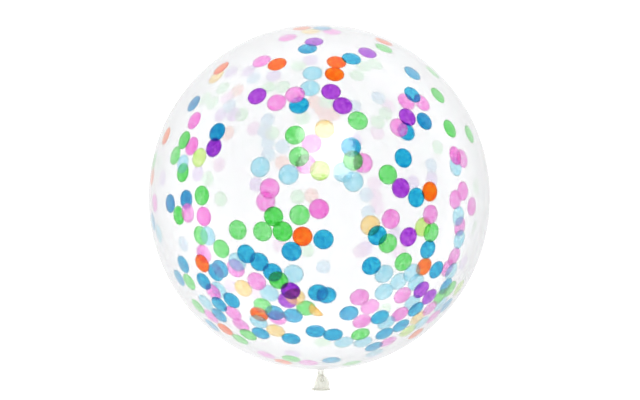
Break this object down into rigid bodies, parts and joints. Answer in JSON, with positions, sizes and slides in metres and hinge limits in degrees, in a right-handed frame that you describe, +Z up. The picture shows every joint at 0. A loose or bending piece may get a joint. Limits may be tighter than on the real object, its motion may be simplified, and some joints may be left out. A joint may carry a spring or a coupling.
{
  "type": "giant confetti balloon",
  "caption": "Giant round clear latex balloon with paper confetti sealed inside, tied at its gathered neck and lying on a small flat spot.",
  "frame": {"origin": "middle of the small flat spot under the ball, on the surface that the balloon lies on", "axes": "+Z up from the flat spot; -Y along the neck's line, from the ball towards the tied neck; X across"},
  "size_m": [1, 1.0772, 0.998],
  "materials": {
    "latex_film": "clear natural latex film, dip-moulded and stretched thin, glossy, milky where it isn't stretched at the neck",
    "confetti_petrol_blue": "punched petrol blue tissue paper, soft and fibrous",
    "confetti_green": "punched apple green tissue paper, soft and fibrous",
    "confetti_pink": "punched orchid pink tissue paper, soft and fibrous",
    "confetti_light_blue": "punched pale blue tissue paper, soft and fibrous",
    "confetti_purple": "punched purple tissue paper, soft and fibrous",
    "confetti_orange": "punched orange tissue paper, soft and fibrous",
    "confetti_peach": "punched peach tissue paper, soft and fibrous",
    "confetti_lime": "punched lime tissue paper, soft and fibrous"
  },
  "bodies": {
    "root": {"latex_balloon": "latex_film"}
  },
  "joints": []
}
